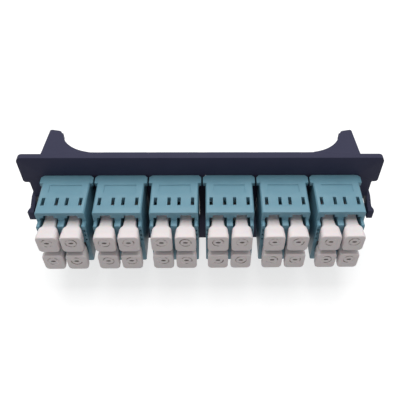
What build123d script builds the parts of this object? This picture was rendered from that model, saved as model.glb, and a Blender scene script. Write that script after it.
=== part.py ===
from build123d import *
import os

os.makedirs("parts", exist_ok=True)

# Fibre adapter plate. Millimetres, +Z up, the ports face -Y.
# The origin is the middle of the plate on its seating plane, the back of the wings.

# Plate
plate_height = 35.2
plate_thickness = 1.6
end_width = 6.3
wing_height = 9.3
waist_step = 1.65
wing_corner = 1.5
wing_inner_corner = 0.8
notch_corner = 0.4
rim_depth = 0.6
rim_height = 1.8
rim_inset = 6.5

# Ears that reach back from the plate's upper and lower edges
ear_reach = 9.9
ear_end_slope = 0.7
ear_width = 4.2
ear_taper = 0.8
ear_thickness = 1.6
ear_outer_corner = 0.5
ear_inner_corner = 1.1
ear_sweep_width = 10.0
ear_sweep_depth = 6.9

# Sprung latch arms at the plate's two ends
arm_height = 3.1
arm_thickness = 1.2
arm_clearance = 0.1
arm_spring_gap = 1.75
arm_back_reach = 6.0
arm_front_reach = 7.0
arm_toe_in = 0.55
arm_lip = 0.45
arm_lip_length = 1.9
arm_lip_ramp = 1.15
arm_slot_gap = 0.7
arm_slot_depth = 0.9
catch_height = 0.7
catch_start = 3.3
catch_length = 2.6
catch_land = 0.5

# Adapters
adapter_count = 6
adapter_pitch = 14.8
adapter_width = 12.8
adapter_height = 18.6
adapter_rise = 1.55
window_clearance = 0.1
front_reach = 16.9
rear_reach = 9.6
split_plane = -0.6
mouth_step = 1.85
mouth_drop = 3.25
housing_edge = 0.35

# Ports, in two columns and two rows, both rows with the latch upwards
port_pitch = 6.25
row_pitch = 7.95
port_below_top = 5.05
port_size = 4.65
channel_below_top = 2.1
keyway_width = 2.85
keyway_below_top = 1.1

# Latch-wing slots and the shallow label recess in the upper wall
slot_width = 0.9
slot_length = 2.7
slot_offset = 1.8
slot_from_mouth = 5.85
label_width = 8.6
label_length = 2.7
label_depth = 0.15
label_from_mouth = 10.5

# Shoulder that stops the adapter on the plate
shoulder_width = 14.3
shoulder_length = 2.8
shoulder_height = 1.3
shoulder_chamfer = 0.7

# Split sleeves, and the holder trapped between the housing halves; small rounds have sixteen sides
round_sides = 16
sleeve_outer = 1.62
sleeve_wall = 0.19
sleeve_length = 6.8
sleeve_slit = 0.25
sleeve_play = 0.06
holder_wall = 0.5
holder_corner = 0.7
holder_web = 2.4
pocket_wall = 0.9
pocket_play = 0.03

# Retaining clip of spring strip round the rear housing
clip_thickness = 0.3
clip_length = 5.0
clip_start = 1.2
clip_play = 0.03
clip_groove = 0.4
tongue_height = 4.0
tongue_spread = 0.6
tongue_length = 3.0
tongue_gap = 0.05
tongue_root_length = 1.2

# Dust caps
cap_clearance = 0.175
cap_head_width = 5.75
cap_head_height = 6.2
cap_head_drop = 0.75
cap_head_corner = 0.7
cap_head_length = 1.6
cap_flare_length = 1.3
cap_waist_length = 1.2
cap_waist = 3.8
cap_neck = 3.3
cap_neck_corner = 0.4
cap_neck_length = 3.4
cap_plug_length = 5.55
cap_rib_width = 2.2
cap_rib_clearance = 0.4
cap_bore = 2.6
cap_bore_depth = 4.4

# How far a cut runs past the surface it starts from
overcut = 1.0

half_height = plate_height / 2
plate_front = -plate_thickness
top_wall = adapter_height / 2
row_centers = (top_wall - port_below_top, top_wall - port_below_top - row_pitch)
channel_reach = port_below_top - channel_below_top
keyway_reach = port_below_top - keyway_below_top
adapter_centers = [(n - (adapter_count - 1) / 2) * adapter_pitch for n in range(adapter_count)]
wing_half = adapter_centers[-1] + adapter_width / 2 + end_width
rim_half = wing_half - rim_inset
columns = (-port_pitch / 2, port_pitch / 2)
holder_bore = sleeve_outer + 2 * sleeve_play
holder_outer = holder_bore + 2 * holder_wall


def facing(y, z=0.0):
    """A plane across the plate at depth y, whose normal points to the front."""
    return Plane(origin=(0, y, z), x_dir=(1, 0, 0), z_dir=(0, -1, 0))


# The plate is one moulding: its right half is built and mirrored.
window_width = adapter_width + 2 * window_clearance
window_height = adapter_height + 2 * window_clearance
right_windows = [(x, adapter_rise) for x in adapter_centers if x > 0]
waist_half = wing_half - waist_step
notch_height = plate_height - 2 * wing_height

with BuildPart() as plate:
    with BuildSketch(facing(0)) as face:
        with Locations((wing_half / 2, 0)):
            Rectangle(wing_half, plate_height)
        with Locations((wing_half, 0)):
            Rectangle(2 * waist_step, notch_height, mode=Mode.SUBTRACT)
        fillet(face.vertices().group_by(Axis.X)[-2], notch_corner)
        outer = face.vertices().group_by(Axis.X)[-1].sort_by(Axis.Y)
        fillet(outer[1:3], wing_inner_corner)
        outer = face.vertices().group_by(Axis.X)[-1].sort_by(Axis.Y)
        fillet([outer[0], outer[-1]], wing_corner)
        with Locations(*right_windows):
            Rectangle(window_width, window_height, mode=Mode.SUBTRACT)
    extrude(amount=plate_thickness)

    # stiffening rims behind the upper and lower edges
    with BuildSketch(facing(0)):
        for side in (1, -1):
            with Locations((rim_half / 2, side * (half_height - rim_height / 2))):
                Rectangle(rim_half, rim_height)
    extrude(amount=-rim_depth)

    # ears: a tapered tab with a swept inner edge that runs into the rim
    ear_tip_outer = rim_half - ear_taper
    ear_inner = ear_tip_outer - ear_width + ear_taper
    sweep_end = ear_inner - ear_sweep_width
    sweep_top = rim_depth + ear_sweep_depth
    for level in (half_height, -half_height + ear_thickness):
        with BuildSketch(Plane.XY.offset(level)) as ear:
            with BuildLine():
                Polyline((sweep_end, rim_depth), (sweep_end, 0), (rim_half, 0), (ear_tip_outer, ear_reach),
                         (ear_inner, ear_reach - ear_end_slope), (ear_inner, sweep_top))
                EllipticalCenterArc((sweep_end, sweep_top), ear_sweep_width, ear_sweep_depth,
                                    start_angle=270, arc_size=90)
            make_face()
            fillet(ear.vertices().group_by(Axis.Y)[-2], ear_inner_corner)
            fillet(ear.vertices().group_by(Axis.Y)[-1], ear_outer_corner)
        extrude(amount=-ear_thickness)

    # slot in the waist that lets the latch arm flex inwards
    arm_inner = waist_half + arm_clearance
    with BuildSketch(facing(0)):
        with Locations((waist_half, 0)):
            Rectangle(2 * arm_slot_depth, arm_height + 2 * arm_slot_gap)
    extrude(amount=plate_thickness, mode=Mode.SUBTRACT)

    # latch arm: a hairpin spring that comes forward past the waist to a finger lip
    arm_outer = arm_inner + arm_thickness
    leg_outer = arm_inner - arm_spring_gap
    leg_inner = leg_outer - arm_thickness
    bend_center = (arm_outer + leg_inner) / 2
    bend_outer = (arm_outer - leg_inner) / 2
    bend_inner = bend_outer - arm_thickness
    lip_start = arm_front_reach - arm_lip_length
    toe = arm_outer - arm_toe_in
    with BuildSketch(Plane.XY.offset(-arm_height / 2)):
        with BuildLine():
            Line((leg_outer, 0), (leg_inner, 0))
            Line((leg_inner, 0), (leg_inner, arm_back_reach))
            ThreePointArc((leg_inner, arm_back_reach), (bend_center, arm_back_reach + bend_outer),
                          (arm_outer, arm_back_reach))
            Polyline((arm_outer, arm_back_reach), (arm_outer, catch_start + catch_length),
                     (arm_outer + catch_height, catch_start + catch_land), (arm_outer + catch_height, catch_start),
                     (arm_outer, catch_start), (arm_outer, -plate_thickness / 2), (toe, -lip_start),
                     (toe + arm_lip, -lip_start - arm_lip_ramp), (toe + arm_lip, -arm_front_reach),
                     (toe - arm_thickness, -arm_front_reach), (toe - arm_thickness, -lip_start),
                     (arm_inner, -plate_thickness / 2), (arm_inner, arm_back_reach))
            ThreePointArc((arm_inner, arm_back_reach), (bend_center, arm_back_reach + bend_inner),
                          (leg_outer, arm_back_reach))
            Line((leg_outer, arm_back_reach), (leg_outer, 0))
        make_face()
    extrude(amount=arm_height)
    mirror(about=Plane.YZ)

plate.part.label = "plate"
export_step(plate.part, "parts/plate.step")


def cut_ports(mouth, web):
    """The four port openings, each with its latch channel and keyway above it."""
    with BuildSketch(facing(mouth, adapter_rise)) as ports:
        for z in row_centers:
            for x in columns:
                with Locations((x, z + (channel_reach - port_size / 2) / 2)):
                    Rectangle(port_size, channel_reach + port_size / 2)
                with Locations((x, z + keyway_reach / 2)):
                    Rectangle(keyway_width, keyway_reach)
    extrude(ports.sketch, amount=mouth - web, mode=Mode.SUBTRACT)


def cut_top(mouth, inward):
    """Latch-wing slots and the label recess in the upper wall."""
    with BuildSketch(Plane.XY.offset(adapter_rise + top_wall)) as slots:
        with Locations(*[(x + s * slot_offset, mouth + inward * slot_from_mouth) for x in columns for s in (1, -1)]):
            Rectangle(slot_width, slot_length)
    extrude(slots.sketch, amount=-channel_below_top, mode=Mode.SUBTRACT)
    with BuildSketch(Plane.XY.offset(adapter_rise + top_wall)) as label:
        with Locations((0, mouth + inward * label_from_mouth)):
            Rectangle(label_width, label_length)
    extrude(label.sketch, amount=-label_depth, mode=Mode.SUBTRACT)


def build_shell(mouth, outward):
    """One housing half with its stepped mouth; outward is -1 in front and 1 behind."""
    recess = mouth - outward * mouth_step
    web = split_plane + outward * holder_web / 2
    with BuildSketch(facing(recess, adapter_rise)) as section:
        Rectangle(adapter_width, adapter_height)
        chamfer(section.vertices(), housing_edge)
    extrude(section.sketch, amount=recess - split_plane)
    with BuildSketch(facing(mouth, adapter_rise - mouth_drop / 2)) as nose:
        Rectangle(adapter_width, adapter_height - mouth_drop)
        chamfer(nose.vertices().group_by(Axis.Z)[0], housing_edge)
    extrude(nose.sketch, amount=mouth - recess)
    cut_ports(mouth, web)
    cut_top(mouth, -outward)
    with BuildSketch(facing(web, adapter_rise)) as pocket:
        Rectangle(adapter_width - 2 * pocket_wall, adapter_height - 2 * pocket_wall)
    extrude(pocket.sketch, amount=web - split_plane, mode=Mode.SUBTRACT)


# Front housing half, with the shoulder that meets the plate's face
with BuildPart() as front_housing:
    build_shell(-front_reach, -1)
    with BuildSketch(Plane.XY.offset(adapter_rise + top_wall)) as shoulder:
        with Locations((0, plate_front - shoulder_length / 2)):
            Rectangle(shoulder_width, shoulder_length)
        chamfer(shoulder.vertices().group_by(Axis.Y)[-1], shoulder_chamfer)
        with Locations((0, plate_front - shoulder_length / 2)):
            Rectangle(adapter_width - 2 * housing_edge, shoulder_length + overcut, mode=Mode.SUBTRACT)
    extrude(amount=-shoulder_height)

# Rear housing half, with the groove that the clip sits in
groove_start = clip_start - clip_play
groove_length = clip_length + 2 * clip_play
with BuildPart() as rear_housing:
    build_shell(rear_reach, 1)
    with BuildSketch(facing(groove_start, adapter_rise)):
        Rectangle(adapter_width + overcut, adapter_height + overcut)
        Rectangle(adapter_width - 2 * clip_groove, adapter_height - 2 * clip_groove, mode=Mode.SUBTRACT)
    extrude(amount=-groove_length, mode=Mode.SUBTRACT)

# Retaining clip: a band round the housing with a sprung tongue on each side
band_width = adapter_width - 2 * clip_groove + 2 * clip_play
band_height = adapter_height - 2 * clip_groove + 2 * clip_play
strip_outer = band_width / 2 + clip_thickness
strip_middle = strip_outer - clip_thickness / 2
spread_outer = strip_outer + tongue_spread
tongue_start = tongue_gap + tongue_length
with BuildPart() as clip:
    with BuildSketch(facing(clip_start, adapter_rise)):
        Rectangle(band_width + 2 * clip_thickness, band_height + 2 * clip_thickness)
        Rectangle(band_width, band_height, mode=Mode.SUBTRACT)
    extrude(amount=-clip_length)
    for side in (1, -1):
        with BuildSketch(Plane.XY.offset(adapter_rise - tongue_height / 2)):
            with BuildLine():
                Polyline((side * strip_middle, tongue_start), (side * strip_outer, tongue_start),
                         (side * spread_outer, tongue_gap), (side * (spread_outer - clip_thickness), tongue_gap),
                         (side * strip_middle, tongue_start - tongue_root_length), close=True)
            make_face()
        extrude(amount=tongue_height)

# Holder: a web in the pocket between the halves, with a bored boss on each port axis
axes = [(x, z) for z in row_centers for x in columns]
holder_reach = sleeve_length / 2 + sleeve_play
with BuildPart() as holder:
    with BuildSketch(facing(split_plane - holder_web / 2, adapter_rise)):
        Rectangle(adapter_width - 2 * (pocket_wall + pocket_play), adapter_height - 2 * (pocket_wall + pocket_play))
    extrude(amount=-holder_web)
    with BuildSketch(facing(split_plane - holder_reach, adapter_rise)) as bosses:
        with Locations(*axes):
            Rectangle(holder_outer, holder_outer)
        chamfer(bosses.vertices(), holder_corner)
    extrude(amount=-2 * holder_reach)
    with BuildSketch(facing(split_plane - holder_reach, adapter_rise)):
        with Locations(*axes):
            RegularPolygon(holder_bore / 2, round_sides)
    extrude(amount=-2 * holder_reach, mode=Mode.SUBTRACT)

# Split sleeve: a slit ceramic tube that lines up two ferrules
with BuildPart() as sleeve:
    with BuildSketch(facing(split_plane - sleeve_length / 2)):
        RegularPolygon(sleeve_outer / 2, round_sides)
        RegularPolygon(sleeve_outer / 2 - sleeve_wall, round_sides, mode=Mode.SUBTRACT)
        with Locations((0, sleeve_outer / 2)):
            Rectangle(sleeve_slit, sleeve_outer, mode=Mode.SUBTRACT)
    extrude(amount=-sleeve_length)


def cap_section(y, width, height, corner, drop=0.0):
    """A cornered rectangle across the cap, its middle lowered by drop."""
    with BuildSketch(facing(y)) as section:
        with Locations((0, -drop)):
            Rectangle(width, height)
        chamfer(section.vertices(), corner)
    return section.sketch


# Dust cap on its port's axis: a head that hangs low, a flared neck, the plug and its keyed rib
plug_size = port_size - 2 * cap_clearance
waist_plane = -front_reach
neck_plane = waist_plane + cap_waist_length
flare_plane = waist_plane - cap_flare_length
head_back = flare_plane - cap_flare_length
plug_start = neck_plane + cap_neck_length
rib_top = keyway_reach - cap_rib_clearance
with BuildPart() as cap:
    head = cap_section(head_back, cap_head_width, cap_head_height, cap_head_corner, cap_head_drop)
    extrude(head, amount=cap_head_length)
    middle = (cap_waist + cap_head_width) / 2
    flare = cap_section(flare_plane, middle, (cap_waist + cap_head_height) / 2, cap_head_corner, cap_head_drop / 2)
    loft([head, flare, cap_section(waist_plane, cap_waist, cap_waist, cap_neck_corner)], ruled=True)
    neck = cap_section(neck_plane, cap_neck, cap_neck, cap_neck_corner)
    loft([cap_section(waist_plane, cap_waist, cap_waist, cap_neck_corner), neck], ruled=True)
    extrude(neck, amount=-cap_neck_length)
    with BuildSketch(facing(plug_start)):
        Rectangle(plug_size, plug_size)
        with Locations((0, rib_top / 2)):
            Rectangle(cap_rib_width, rib_top)
    extrude(amount=-cap_plug_length)
    with BuildSketch(facing(plug_start + cap_plug_length)):
        Rectangle(cap_bore, cap_bore)
    extrude(amount=cap_bore_depth, mode=Mode.SUBTRACT)


def place(shape, x, z, label):
    """One copy of a shape, moved across the plate."""
    with BuildPart() as piece:
        with Locations((x, 0, z)):
            add(shape)
    piece.part.label = label
    return piece.part


# Every adapter carries the same pieces, and each dust cap is a piece of its own.
fixed_pieces = {"front_housing": front_housing, "rear_housing": rear_housing, "holder": holder, "clip": clip}
for number, center in enumerate(adapter_centers, start=1):
    for name, shape in fixed_pieces.items():
        label = f"{name}_{number}"
        export_step(place(shape.part, center, 0, label), f"parts/{label}.step")
    with BuildPart() as sleeves:
        for x, z in axes:
            with Locations((center + x, 0, adapter_rise + z)):
                add(sleeve.part)
    sleeves.part.label = f"sleeves_{number}"
    export_step(sleeves.part, f"parts/sleeves_{number}.step")
    for index, (x, z) in enumerate(axes, start=1):
        label = f"front_cap_{number}_{index}"
        export_step(place(cap.part, center + x, adapter_rise + z, label), f"parts/{label}.step")
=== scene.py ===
import bpy
import math
from mathutils import Matrix, Quaternion, Vector


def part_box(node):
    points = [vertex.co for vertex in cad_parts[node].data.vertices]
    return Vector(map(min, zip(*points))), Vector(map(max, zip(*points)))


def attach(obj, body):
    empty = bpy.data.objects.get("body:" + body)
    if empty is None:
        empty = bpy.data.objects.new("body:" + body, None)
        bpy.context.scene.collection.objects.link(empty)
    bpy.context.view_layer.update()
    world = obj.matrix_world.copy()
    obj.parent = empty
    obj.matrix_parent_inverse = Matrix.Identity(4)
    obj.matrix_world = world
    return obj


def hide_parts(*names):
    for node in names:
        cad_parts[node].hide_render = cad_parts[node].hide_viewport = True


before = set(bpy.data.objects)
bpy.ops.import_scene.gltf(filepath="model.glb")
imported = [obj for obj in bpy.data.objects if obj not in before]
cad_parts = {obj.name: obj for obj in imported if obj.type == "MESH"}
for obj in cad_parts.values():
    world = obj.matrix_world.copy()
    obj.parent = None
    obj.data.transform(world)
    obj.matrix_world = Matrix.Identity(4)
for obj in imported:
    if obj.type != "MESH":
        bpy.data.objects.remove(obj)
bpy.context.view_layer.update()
mm = 0.001
white = (1, 1, 1, 1)


# Colours are written as a screen shows them, and turned to linear here
def srgb(hexColour):
    channels = [int(hexColour[i:i + 2], 16) / 255 for i in (1, 3, 5)]
    linear = [c / 12.92 if c <= 0.04045 else ((c + 0.055) / 1.055) ** 2.4 for c in channels]
    return (*linear, 1.0)


def addNode(tree, kind, values=None, links=None, **settings):
    node = tree.nodes.new(kind)
    for name, value in settings.items():
        setattr(node, name, value)
    for name, value in (values or {}).items():
        node.inputs[name].default_value = value
    for name, source in (links or {}).items():
        tree.links.new(source, node.inputs[name])
    return node


# A plain surface: a base colour with a slow drift in tone, a fine texture in bump, and uneven gloss
noiseDetail = {"drift": 3.0, "grain": 2.0}


def mouldedSurface(name, look):
    material = bpy.data.materials.new(name)
    material.use_nodes = True
    tree = material.node_tree
    shader = tree.nodes["Principled BSDF"]
    place = addNode(tree, "ShaderNodeTexCoord")
    drift = addNode(tree, "ShaderNodeTexNoise",
                    {"Scale": 1 / (look["driftSize"] * mm), "Detail": noiseDetail["drift"]},
                    {"Vector": place.outputs["Object"]})
    spanLow, spanHigh = look.get("driftSpan", (0, 1))
    patches = addNode(tree, "ShaderNodeMapRange", {"From Min": spanLow, "From Max": spanHigh},
                      {"Value": drift.outputs["Fac"]})
    tone = addNode(tree, "ShaderNodeMix", {"A": srgb(look["dark"]), "B": srgb(look["light"])},
                   {"Factor": patches.outputs["Result"]}, data_type="RGBA")
    stretch = addNode(tree, "ShaderNodeMapping", {"Scale": look.get("grainStretch", (1, 1, 1))},
                      {"Vector": place.outputs["Object"]})
    grain = addNode(tree, "ShaderNodeTexNoise",
                    {"Scale": 1 / (look["grainSize"] * mm), "Detail": noiseDetail["grain"]},
                    {"Vector": stretch.outputs["Vector"]})
    bump = addNode(tree, "ShaderNodeBump",
                   {"Strength": look["grainStrength"], "Distance": look["grainDepth"] * mm},
                   {"Height": grain.outputs["Fac"]})
    gloss = addNode(tree, "ShaderNodeMapRange", {"To Min": look["glossy"], "To Max": look["dull"]},
                    {"Value": drift.outputs["Fac"]})
    tree.links.new(tone.outputs["Result"], shader.inputs["Base Color"])
    tree.links.new(bump.outputs["Normal"], shader.inputs["Normal"])
    tree.links.new(gloss.outputs["Result"], shader.inputs["Roughness"])
    for socket, value in look["sockets"].items():
        shader.inputs[socket].default_value = value
    return material


# Black ABS from a spark-eroded mould: an even, dull grain that greys where the light grazes it.
# The real grain is about 0.05 mm and is drawn coarser, so that it shows.
plateLook = {"dark": "#323348", "light": "#3d3d51", "driftSize": 9,
             "grainSize": 0.22, "grainStrength": 0.35, "grainDepth": 0.03, "glossy": 0.5, "dull": 0.66,
             "sockets": {"IOR": 1.53, "Specular IOR Level": 0.1}}

# Aqua PBT from a polished mould: a satin surface, a little lighter where it is thin.
# The real skin ripples every 0.1 mm or so and is drawn coarser, so that it shows.
housingLook = {"dark": "#6590a2", "light": "#739eae", "driftSize": 7,
               "grainSize": 0.4, "grainStrength": 0.12, "grainDepth": 0.02, "glossy": 0.34, "dull": 0.48,
               "sockets": {"IOR": 1.55, "Specular IOR Level": 0.3, "Subsurface Weight": 0.2,
                           "Subsurface Scale": 0.8 * mm, "Subsurface Radius": (0.5, 0.9, 1.0)}}

# Soft moulded polythene: milky, with light that spreads a little way under the skin.
# The real skin's unevenness is about 0.1 mm across and is drawn coarser, so that it shows.
capLook = {"dark": "#e4dbdb", "light": "#ede5e5", "driftSize": 5,
           "grainSize": 0.5, "grainStrength": 0.1, "grainDepth": 0.02, "glossy": 0.42, "dull": 0.55,
           "sockets": {"IOR": 1.51, "Specular IOR Level": 0.3,
                       "Subsurface Weight": 0.12, "Subsurface Scale": 0.6 * mm}}

# Zirconia ceramic, ground and polished: white, hard and glossy.
# Real grinding marks are a few hundredths of a millimetre apart and are drawn coarser, so that they show.
sleeveLook = {"dark": "#efede6", "light": "#f5f3ee", "driftSize": 3,
              "grainSize": 0.1, "grainStrength": 0.02, "grainDepth": 0.005, "glossy": 0.12, "dull": 0.2,
              "sockets": {"IOR": 2.1}}

# Stainless spring strip, cold rolled: faint lines round the band and a dull metal sheen.
# Real rolling lines are some 0.01 mm apart and are drawn coarser, so that they show.
clipLook = {"dark": "#a9abad", "light": "#bfc1c2", "driftSize": 4,
            "grainSize": 0.25, "grainStretch": (0.1, 1, 0.1), "grainStrength": 0.25, "grainDepth": 0.01,
            "glossy": 0.38, "dull": 0.52, "sockets": {"Metallic": 1.0}}

# Polythene torn off at the gate: a rough, greyed scar.
# The real tears are about 0.1 mm wide and are drawn coarser, so that they show.
scarLook = {"dark": "#8f8784", "light": "#a39b98", "driftSize": 0.6,
            "grainSize": 0.25, "grainStrength": 0.6, "grainDepth": 0.05, "glossy": 0.7, "dull": 0.85,
            "sockets": {"IOR": 1.51}}

# The ring that the ejector sleeve leaves in a cap's face, coloured in dark and light patches that draw it as
# a broken dark line.
# The patches are about 0.1 mm wide and are drawn coarser, so that they show.
witnessLook = {"dark": "#8f837d", "light": "#f0e8e8", "driftSize": 1.8, "driftSpan": (0.36, 0.56),
               "grainSize": 0.3, "grainStrength": 0.3, "grainDepth": 0.03, "glossy": 0.6, "dull": 0.8,
               "sockets": {"IOR": 1.51}}

sparkErodedAbs = mouldedSurface("sparkErodedAbs", plateLook)
satinMouldedPbt = mouldedSurface("satinMouldedPbt", housingLook)
softMouldedPolythene = mouldedSurface("softMouldedPolythene", capLook)
polishedZirconia = mouldedSurface("polishedZirconia", sleeveLook)
rolledSpringSteel = mouldedSurface("rolledSpringSteel", clipLook)
tornPolythene = mouldedSurface("tornPolythene", scarLook)
patchyRingPolythene = mouldedSurface("patchyRingPolythene", witnessLook)
print("materials made")


def nodesNamed(start):
    return [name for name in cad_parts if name.startswith(start)]


def dress(piece, material):
    piece.data.materials.clear()
    piece.data.materials.append(material)


# Every CAD node first gets its own material
nodeMaterials = {"plate": sparkErodedAbs, "front_housing": satinMouldedPbt, "rear_housing": satinMouldedPbt,
                 "holder": satinMouldedPbt, "clip": rolledSpringSteel, "sleeves": polishedZirconia,
                 "front_cap": softMouldedPolythene}
for start, material in nodeMaterials.items():
    for name in nodesNamed(start):
        dress(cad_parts[name], material)
print("frame dressed")


def deselectAll():
    bpy.ops.object.select_all(action="DESELECT")


def makeActive(piece):
    deselectAll()
    piece.select_set(True)
    bpy.context.view_layer.objects.active = piece


def editWhole(piece):
    makeActive(piece)
    bpy.ops.object.mode_set(mode="EDIT")
    bpy.ops.mesh.select_all(action="SELECT")


def selectFaces(piece, wanted):
    bpy.ops.object.mode_set(mode="EDIT")
    bpy.ops.mesh.select_mode(type="FACE")
    bpy.ops.mesh.select_all(action="DESELECT")
    bpy.ops.object.mode_set(mode="OBJECT")
    for face in piece.data.polygons:
        face.select = bool(wanted(face))
    bpy.ops.object.mode_set(mode="EDIT")


def selectEdges(piece, wanted):
    bpy.ops.object.mode_set(mode="EDIT")
    bpy.ops.mesh.select_mode(type="EDGE")
    bpy.ops.mesh.select_all(action="DESELECT")
    bpy.ops.object.mode_set(mode="OBJECT")
    points = piece.data.vertices
    for edge in piece.data.edges:
        edge.select = bool(wanted(points[edge.vertices[0]].co, points[edge.vertices[1]].co))
    bpy.ops.object.mode_set(mode="EDIT")


def applyModifier(piece, kind, **settings):
    makeActive(piece)
    modifier = piece.modifiers.new(kind.title(), kind)
    for name, value in settings.items():
        setattr(modifier, name, value)
    bpy.ops.object.modifier_apply(modifier=modifier.name)


# Turns a primitive's place and scale into its mesh
def settle():
    bpy.ops.object.transform_apply(location=True, rotation=True, scale=True)
    return bpy.context.object


def shadeSmooth(piece, sharpest):
    makeActive(piece)
    bpy.ops.object.shade_smooth_by_angle(angle=math.radians(sharpest))


# A block between two corners, given in mm, with softened edges if a radius is given
def addBlock(low, high, edge=0.0, steps=2):
    low, high = Vector(low) * mm, Vector(high) * mm
    deselectAll()
    bpy.ops.mesh.primitive_cube_add(size=1, location=(low + high) / 2, scale=high - low)
    block = settle()
    if edge:
        applyModifier(block, "BEVEL", width=edge * mm, segments=steps)
    return block


# Adds or cuts a tool shape, which is then thrown away
def combine(piece, tool, operation):
    applyModifier(piece, "BOOLEAN", object=tool, operation=operation, solver="MANIFOLD")
    bpy.data.objects.remove(tool)


def copyOf(piece, name, place):
    twin = piece.copy()
    twin.data = piece.data.copy()
    twin.name = name
    bpy.context.scene.collection.objects.link(twin)
    twin.data.transform(place)
    return twin


facing = 0.9    # cosine above which a face counts as facing along an axis
closeBy = 0.1   # mm within which a point counts as lying on a line or plane
hair = 0.01     # mm, less than any form here

# Dust cap, modelled on its port's own axis and then copied to the 24 ports.
# Each section is (y, width, height, drop below the port's axis), and steps are the facets of a curve.
capShape = {"plug": 3.9, "plugCorner": 0.73, "plugCornerSteps": 5, "plugStart": -12.3, "plugEnd": -6.75,
            "core": 2.8, "coreDepth": 4.4,
            "sections": [(-12.3, 3.1, 3.1, 0), (-15.0, 3.3, 3.3, 0), (-16.5, 3.55, 3.6, 0),
                         (-17.05, 4.1, 4.1, 0.05), (-17.4, 4.7, 4.5, 0.12), (-17.8, 5.0, 4.8, 0.2),
                         (-18.4, 5.18, 5.1, 0.34), (-19.15, 5.3, 5.7, 0.6), (-19.5, 5.45, 6.12, 0.73),
                         (-19.8, 5.5, 6.2, 0.75), (-21.1, 5.5, 6.2, 0.75)],
            "faceEdge": 0.32, "faceEdgeSteps": 3,
            "ribWidth": 2.2, "ribBase": 1.8, "ribTop": 3.55, "ribEdge": 0.15,
            "gateWidth": 1.3, "gateHeight": 0.7, "gateDepth": 0.45, "gateSteps": (20, 10), "gateFacet": 0.3,
            "ringWidth": 2.9, "ringDepth": 0.16, "ringSteps": (40, 8), "sharp": 35}


def makeCap(look):
    length = look["plugEnd"] - look["plugStart"]
    half = look["plug"] / 2
    cap = addBlock((-half, look["plugStart"], -half), (half, look["plugEnd"], half))
    selectEdges(cap, lambda a, b: abs(a.y - b.y) > length / 2 * mm)
    bpy.ops.mesh.bevel(offset=look["plugCorner"] * mm, segments=look["plugCornerSteps"], affect="EDGES")
    bpy.ops.object.mode_set(mode="OBJECT")

    # the core hole, sunk from the back
    selectFaces(cap, lambda face: face.normal.y > facing)
    bpy.ops.mesh.inset(thickness=(look["plug"] - look["core"]) / 2 * mm)
    bpy.ops.mesh.extrude_region_move(TRANSFORM_OT_translate={"value": (0, -look["coreDepth"] * mm, 0)})
    bpy.ops.object.mode_set(mode="OBJECT")

    # neck, flare and head: the front face is drawn forward one section at a time
    plugFront = (look["plugStart"] + closeBy) * mm
    selectFaces(cap, lambda face: face.normal.y < -facing and face.center.y < plugFront)
    y, width, height, drop = look["plugStart"], look["plug"], look["plug"], 0
    for nextY, nextWidth, nextHeight, nextDrop in look["sections"]:
        bpy.ops.mesh.extrude_region_move(
            TRANSFORM_OT_translate={"value": (0, (nextY - y) * mm, (drop - nextDrop) * mm)})
        bpy.ops.transform.resize(value=(nextWidth / width, 1, nextHeight / height),
                                 center_override=(0, nextY * mm, -nextDrop * mm))
        y, width, height, drop = nextY, nextWidth, nextHeight, nextDrop
    bpy.ops.mesh.bevel(offset=look["faceEdge"] * mm, segments=look["faceEdgeSteps"], affect="EDGES")
    bpy.ops.object.mode_set(mode="OBJECT")

    rib = addBlock((-look["ribWidth"] / 2, look["plugStart"], look["ribBase"]),
                   (look["ribWidth"] / 2, look["plugEnd"], look["ribTop"]), look["ribEdge"])
    combine(cap, rib, "UNION")

    # the ejector's ring and the moulding gate's dimple on the head's face
    deselectAll()
    bpy.ops.mesh.primitive_torus_add(
        location=(0, y * mm, 0), rotation=(math.pi / 2, 0, 0),
        major_radius=look["ringWidth"] / 2 * mm, minor_radius=look["ringDepth"] * mm,
        major_segments=look["ringSteps"][0], minor_segments=look["ringSteps"][1])
    combine(cap, settle(), "DIFFERENCE")
    deselectAll()
    bpy.ops.mesh.primitive_uv_sphere_add(
        segments=look["gateSteps"][0], ring_count=look["gateSteps"][1], radius=mm / 2,
        location=(0, y * mm, 0), scale=(look["gateWidth"], 2 * look["gateDepth"], look["gateHeight"]))
    combine(cap, settle(), "DIFFERENCE")
    shadeSmooth(cap, look["sharp"])
    dress(cap, softMouldedPolythene)

    # the dimple's own faces carry the scar, and the ring's faces carry the darker patches
    cap.data.materials.append(tornPolythene)
    cap.data.materials.append(patchyRingPolythene)
    for face in cap.data.polygons:
        depth = face.center.y / mm - y
        across, up = face.center.x / mm, face.center.z / mm
        fromRing = abs(math.hypot(across, up) - look["ringWidth"] / 2)
        inDimple = math.hypot(across / look["gateWidth"], up / look["gateHeight"]) < 1 / 2
        small = face.area < (look["gateFacet"] * mm) ** 2
        if inDimple and small and depth < look["gateDepth"] + hair:
            face.material_index = 1
        elif fromRing < look["ringDepth"] and hair < depth < look["ringDepth"] + hair:
            face.material_index = 2
    return cap


capMaster = makeCap(capShape)
headHeight, headDrop = capShape["sections"][-1][2:]
for name in nodesNamed("front_cap"):
    low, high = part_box(name)
    place = Matrix.Translation(((low.x + high.x) / 2, 0, low.z + (headHeight / 2 + headDrop) * mm))
    twin = copyOf(capMaster, "dust_cap" + name.removeprefix("front_cap"), place)
    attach(twin, name.replace("front_cap", "cap"))
    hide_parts(name)
bpy.data.objects.remove(capMaster)
print("dust caps made")


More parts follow.
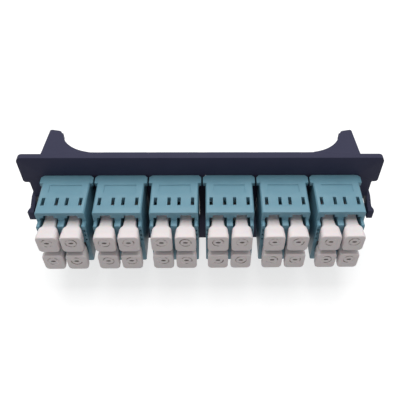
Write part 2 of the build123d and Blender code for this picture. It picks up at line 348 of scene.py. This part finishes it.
# A node's own mesh with its triangles joined into whole faces and its sharp edges softened
def softenedNode(nodeName, pieceName, material, soft, additions=()):
    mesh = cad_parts[nodeName].data.copy()
    piece = bpy.data.objects.new(pieceName, mesh)
    bpy.context.scene.collection.objects.link(piece)
    makeActive(piece)
    bpy.ops.mesh.customdata_custom_splitnormals_clear()  # the node's own normals don't fit the new faces
    editWhole(piece)
    bpy.ops.mesh.remove_doubles(threshold=soft["merge"] * mm)
    bpy.ops.object.mode_set(mode="OBJECT")
    for addition in additions:
        combine(piece, addition, "UNION")
    editWhole(piece)
    bpy.ops.mesh.remove_doubles(threshold=soft["merge"] * mm)
    bpy.ops.mesh.dissolve_limited(angle_limit=math.radians(soft["flat"]))
    bpy.ops.object.mode_set(mode="OBJECT")
    selectFaces(piece, lambda face: len(face.vertices) > 4)  # a face with holes in it would tear in the bevel
    bpy.ops.mesh.quads_convert_to_tris(ngon_method="BEAUTY")
    bpy.ops.object.mode_set(mode="OBJECT")
    applyModifier(piece, "BEVEL", width=soft["edge"] * mm, segments=soft["steps"], limit_method="ANGLE",
                  angle_limit=math.radians(soft["sharp"]))
    shadeSmooth(piece, soft["sharp"])
    dress(piece, material)
    return piece


# Plate: one moulding with the small radii that its tool leaves on every edge
plateSoft = {"merge": 0.002, "flat": 1, "edge": 0.2, "steps": 2, "sharp": 35}

# The web that fills each ear's inner corner in one long sweep, hollowed by an oval
earWeb = {"inner": 30.6, "outer": 39.6, "front": 0.2, "back": 8.4, "thickness": 1.6,
          "corner": 0.6, "cornerSteps": 4,
          "ovalCentre": (28.5, 8.6), "ovalReach": (10.0, 8.0), "ovalSteps": 96}


def makeEarWeb(side, low, look):
    ends = sorted((side * look["inner"], side * look["outer"]))
    web = addBlock((ends[0], look["front"], low), (ends[1], look["back"], low + look["thickness"]))
    middle = Vector((side * look["ovalCentre"][0], look["ovalCentre"][1], low + look["thickness"] / 2)) * mm
    throughCut = 3 * look["thickness"] * mm
    deselectAll()
    bpy.ops.mesh.primitive_cylinder_add(vertices=look["ovalSteps"], radius=mm, depth=throughCut,
                                        location=middle, scale=(*look["ovalReach"], 1))
    combine(web, settle(), "DIFFERENCE")
    corner = Vector((side * (look["ovalCentre"][0] + look["ovalReach"][0]), look["back"])) * mm
    makeActive(web)
    selectEdges(web, lambda a, b: max((a.xy - corner).length, (b.xy - corner).length) < closeBy * mm)
    bpy.ops.mesh.bevel(offset=look["corner"] * mm, segments=look["cornerSteps"], affect="EDGES")
    bpy.ops.object.mode_set(mode="OBJECT")
    return web


plateLow, plateHigh = (corner.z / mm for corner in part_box("plate"))
webs = [makeEarWeb(side, low, earWeb)
        for side in (-1, 1) for low in (plateLow, plateHigh - earWeb["thickness"])]
plate = softenedNode("plate", "adapter_plate", sparkErodedAbs, plateSoft, webs)
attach(plate, "plate_body")
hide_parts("plate")
print("plate made")

# Housing halves: softened edges, and three small core-pin recesses down each side of a mouth
housingSoft = {"merge": 0.002, "flat": 1, "edge": 0.16, "steps": 2, "sharp": 35}
mouthMarks = {"width": 0.5, "height": 0.7, "depth": 0.7, "across": 5.9, "heights": (5.6, 3.75, 1.9)}


def cutMouthMarks(piece, centre, mouth, look):
    for side in (-1, 1):
        for height in look["heights"]:
            middle = Vector((centre + side * look["across"], mouth, height))
            reach = Vector((look["width"] / 2, look["depth"], look["height"] / 2))
            combine(piece, addBlock(middle - reach, middle + reach), "DIFFERENCE")


# The label recess on the front half: its floor is sunk a little more, and its edge stays crisp,
# as the mould's insert leaves it
labelRecess = {"width": 8.4, "fromMouth": (9.25, 11.75), "depth": 0.25, "clearAbove": 1}


def sinkLabel(piece, centre, mouth, look):
    near, far = (mouth + distance for distance in look["fromMouth"])
    top = max(point.co.z for point in piece.data.vertices if point.co.y < near * mm) / mm
    combine(piece, addBlock((centre - look["width"] / 2, near, top - look["depth"]),
                            (centre + look["width"] / 2, far, top + look["clearAbove"])), "DIFFERENCE")


for side, end in (("front", 0), ("rear", 1)):
    master = softenedNode(f"{side}_housing_1", f"{side}_master", satinMouldedPbt, housingSoft)
    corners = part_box(f"{side}_housing_1")
    masterCentre = (corners[0].x + corners[1].x) / 2
    cutMouthMarks(master, masterCentre / mm, corners[end].y / mm, mouthMarks)
    if side == "front":
        sinkLabel(master, masterCentre / mm, corners[end].y / mm, labelRecess)
    shadeSmooth(master, housingSoft["sharp"])
    for name in nodesNamed(f"{side}_housing"):
        low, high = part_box(name)
        step = Matrix.Translation(((low.x + high.x) / 2 - masterCentre, 0, 0))
        twin = copyOf(master, name.replace("housing", "shell"), step)
        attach(twin, "plate_body")
        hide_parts(name)
    bpy.data.objects.remove(master)
print("housings made")


# Floor and lights
studio = {"floorZ": -17.62, "floorSize": 3000, "bounceColour": "#b0b0b0", "paperColour": "#b8b8b8",
          "paperGlow": 0.7, "paperRoughness": 0.95, "skyStrength": 0.4, "skySeen": 1.0,
          "lampHeight": 600, "lampSize": 500, "lampPower": 2.9, "lampBack": 120}

bpy.ops.mesh.primitive_plane_add(size=studio["floorSize"] * mm, location=(0, 0, studio["floorZ"] * mm))
floor = bpy.context.object
floor.name = "studioFloor"
floor.data.transform(floor.matrix_world)
floor.matrix_world = Matrix.Identity(4)


# 1 where the camera looks, straight or by way of gloss or glass, and 0 for the light on the object
def whereSeen(tree):
    rays = addNode(tree, "ShaderNodeLightPath")
    seen = rays.outputs["Is Camera Ray"]
    for kind in ("Is Glossy Ray", "Is Transmission Ray"):
        seen = addNode(tree, "ShaderNodeMath", None, {0: seen, 1: rays.outputs[kind]},
                       operation="MAXIMUM").outputs[0]
    return seen


# Matt white paper: the camera and reflections see it white with a soft shadow, and its bounce is a pale grey
paper = bpy.data.materials.new("studioPaper")
paper.use_nodes = True
paperTree = paper.node_tree
paperShader = paperTree.nodes["Principled BSDF"]
paperSeen = whereSeen(paperTree)
paperTone = addNode(paperTree, "ShaderNodeMix",
                    {"A": srgb(studio["bounceColour"]), "B": srgb(studio["paperColour"])},
                    {"Factor": paperSeen}, data_type="RGBA")
glow = addNode(paperTree, "ShaderNodeMath", {1: studio["paperGlow"]}, {0: paperSeen}, operation="MULTIPLY")
paperTree.links.new(paperTone.outputs["Result"], paperShader.inputs["Base Color"])
paperTree.links.new(glow.outputs[0], paperShader.inputs["Emission Strength"])
paperShader.inputs["Emission Color"].default_value = white
paperShader.inputs["Roughness"].default_value = studio["paperRoughness"]
paperShader.inputs["Specular IOR Level"].default_value = 0
dress(floor, paper)

# The sky lights the object softly, and is white where it is seen
world = bpy.data.worlds.new("studioSky")
bpy.context.scene.world = world
world.use_nodes = True
skyTree = world.node_tree
sky = skyTree.nodes["Background"]
sky.inputs["Color"].default_value = white
skyLevel = addNode(skyTree, "ShaderNodeMapRange",
                   {"To Min": studio["skyStrength"], "To Max": studio["skySeen"]},
                   {"Value": whereSeen(skyTree)})
skyTree.links.new(skyLevel.outputs["Result"], sky.inputs["Strength"])

lampData = bpy.data.lights.new("softBox", "AREA")
lampData.shape = "SQUARE"
lampData.size = studio["lampSize"] * mm
lampData.energy = studio["lampPower"]
lamp = bpy.data.objects.new("softBox", lampData)
bpy.context.scene.collection.objects.link(lamp)
lamp.location = (0, studio["lampBack"] * mm, studio["lampHeight"] * mm)
lamp.rotation_euler = (-lamp.location).to_track_quat("-Z", "Y").to_euler()

# The camera stands in front and above and leans a little, and its view is shifted as the picture was cropped
shot = {"place": (2.105, -103.827, 117.004), "target": (6.562, -1.6, 0.449), "roll": 1.675,
        "lens": 47.66, "sensor": 36, "shift": (-0.0625, 0), "nearest": 1}
cameraData = bpy.data.cameras.new("productCamera")
cameraData.lens = shot["lens"]
cameraData.sensor_width = shot["sensor"]
cameraData.shift_x, cameraData.shift_y = shot["shift"]
cameraData.clip_start = shot["nearest"] * mm
camera = bpy.data.objects.new("productCamera", cameraData)
bpy.context.scene.collection.objects.link(camera)
aim = Vector(shot["target"]) - Vector(shot["place"])
camera.rotation_mode = "QUATERNION"
camera.rotation_quaternion = aim.to_track_quat("-Z", "Y") @ Quaternion((0, 0, 1), math.radians(shot["roll"]))
camera.location = Vector(shot["place"]) * mm
bpy.context.scene.camera = camera
bpy.context.scene.view_settings.view_transform = "Standard"
print("studio set")
